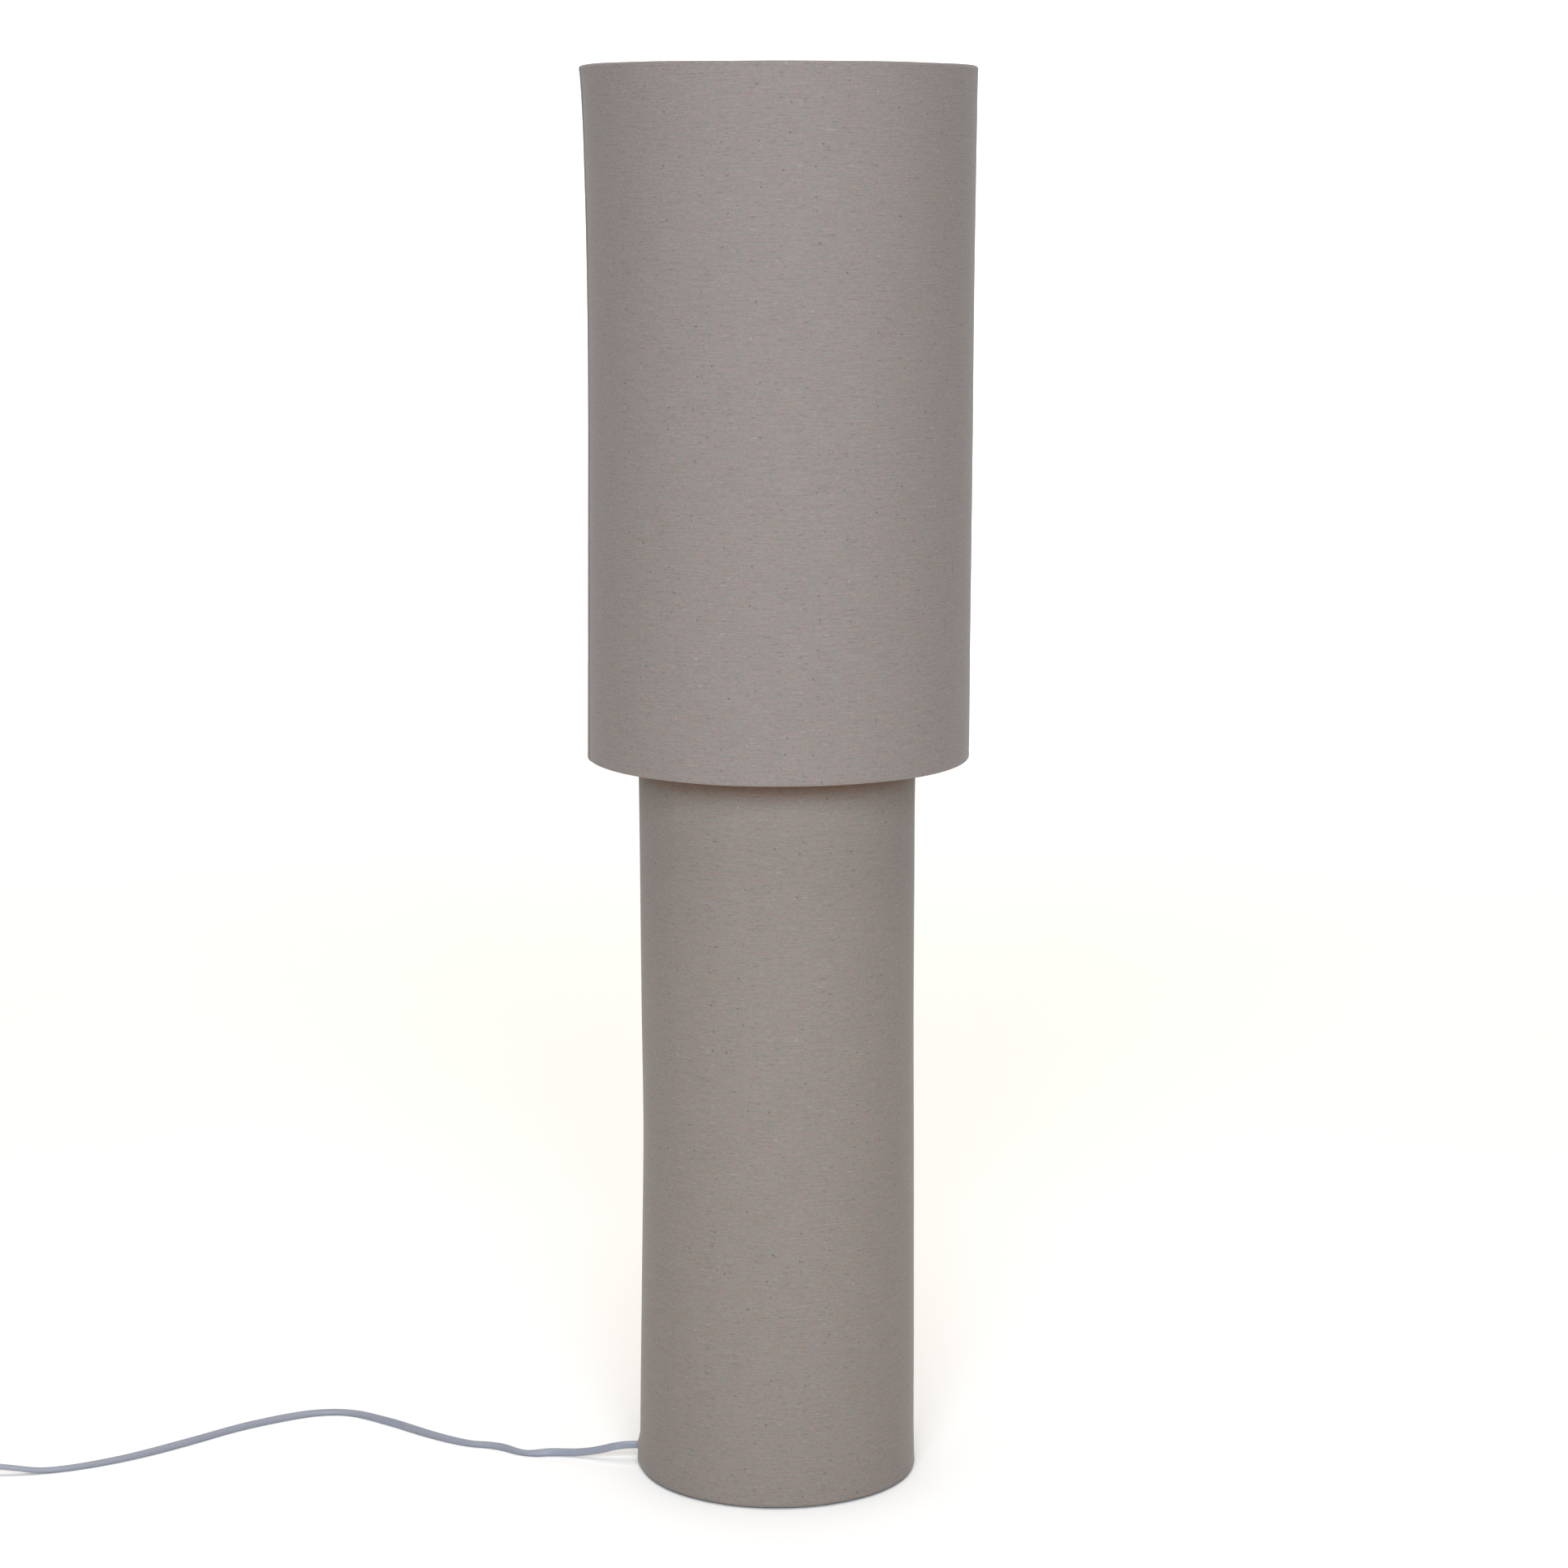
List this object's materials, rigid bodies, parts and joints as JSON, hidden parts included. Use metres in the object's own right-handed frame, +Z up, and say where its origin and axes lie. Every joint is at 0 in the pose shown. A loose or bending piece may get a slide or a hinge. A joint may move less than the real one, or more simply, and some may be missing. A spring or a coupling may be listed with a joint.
{
  "type": "column floor lamp",
  "caption": "Tall fabric drum shade over a slimmer fabric-covered column, with a hidden pole and weighted foot, a flat flex, a foot switch and a plug.",
  "frame": {"origin": "centre of the foot, on the floor", "axes": "+Z up along the pole, the front is -Y, the flex leaves towards -X"},
  "size_m": [1.0488, 0.306, 1.12],
  "materials": {
    "linen": "plain linen weave, greige, matt",
    "backing": "white translucent sheet, matt",
    "wire": "white powder coat",
    "felt": "felt",
    "plate": "black powder coat, matt",
    "zinc": "zinc plated",
    "pole_steel": "white powder coat",
    "grommet_rubber": "matt",
    "flex": "soft grey PVC",
    "holder_plastic": "white, satin",
    "holder_ceramic": "white insert",
    "contact_metal": "plain",
    "shell_metal": "nickel plated",
    "bulb_black": "black glass",
    "bulb_body": "white",
    "bulb_glass": "opal diffuser",
    "switch_plastic": "soft grey, satin",
    "spring_steel": "spring wire"
  },
  "bodies": {
    "stand": {"base_felt": "felt", "base_plate": "plate", "base_bolt": "zinc", "base_washer": "zinc", "pole_foot_bush": "zinc", "lower_pole": "pole_steel", "pole_bushes": "zinc", "pole_nipple": "zinc", "upper_pole": "pole_steel", "holder_nipple": "zinc", "pole_grommet": "grommet_rubber", "cord_clip": "holder_plastic", "cord_clip_screws": "zinc", "cord_grommet": "flex", "inner_lead": "flex", "column_bottom_ring": "wire", "column_bottom_spider": "wire", "column_top_ring": "wire", "column_top_spider": "wire", "column_liner": "backing", "column_fabric": "linen", "holder_cap": "holder_plastic", "holder_insert": "holder_ceramic", "holder_terminals": "contact_metal", "holder_skirt": "holder_plastic", "holder_screw_shell": "shell_metal", "holder_centre_contact": "contact_metal", "cord_to_switch": "flex", "switch_inlet_sleeve": "flex", "switch_outlet_sleeve": "flex", "switch_base": "switch_plastic", "switch_cover": "switch_plastic", "switch_feet": "grommet_rubber", "switch_screws": "zinc", "switch_terminals": "contact_metal", "switch_spring": "spring_steel", "cord_from_switch": "flex", "cord_coil": "flex", "cord_to_plug": "flex", "plug_sleeve": "flex", "plug_body": "flex", "plug_pins": "shell_metal", "plug_pin_collars": "bulb_black"},
    "shade": {"shade_fabric": "linen", "shade_liner": "backing", "shade_bottom_ring": "wire", "shade_top_ring": "wire", "shade_spider": "wire"},
    "retaining_ring": {"shade_retaining_ring": "holder_plastic"},
    "bulb": {"bulb_tip": "shell_metal", "bulb_insulator": "bulb_black", "bulb_cap": "shell_metal", "bulb_collar": "bulb_body", "bulb_globe": "bulb_glass"},
    "button": {"switch_button": "switch_plastic", "switch_bridge": "contact_metal"}
  },
  "joints": [
    {"name": "shade_turn", "type": "hinge", "parent": "stand", "child": "shade", "pos_m": [0, 0, 0.7686], "axis": [0, 0, 1], "continuous": true},
    {"name": "retaining_ring_turn", "type": "hinge", "parent": "stand", "child": "retaining_ring", "pos_m": [0, 0, 0.774], "axis": [0, 0, 1], "continuous": true},
    {"name": "bulb_turn", "type": "hinge", "parent": "stand", "child": "bulb", "pos_m": [0, 0, 0.781], "axis": [0, 0, 1], "continuous": true},
    {"name": "button_press", "type": "slide", "parent": "stand", "child": "button", "axis": [0, 0, 1], "range_m": [-0.0035, 0], "stiffness_N_per_m": 900, "springref_m": 0.002, "deforming": ["switch_spring"]}
  ]
}
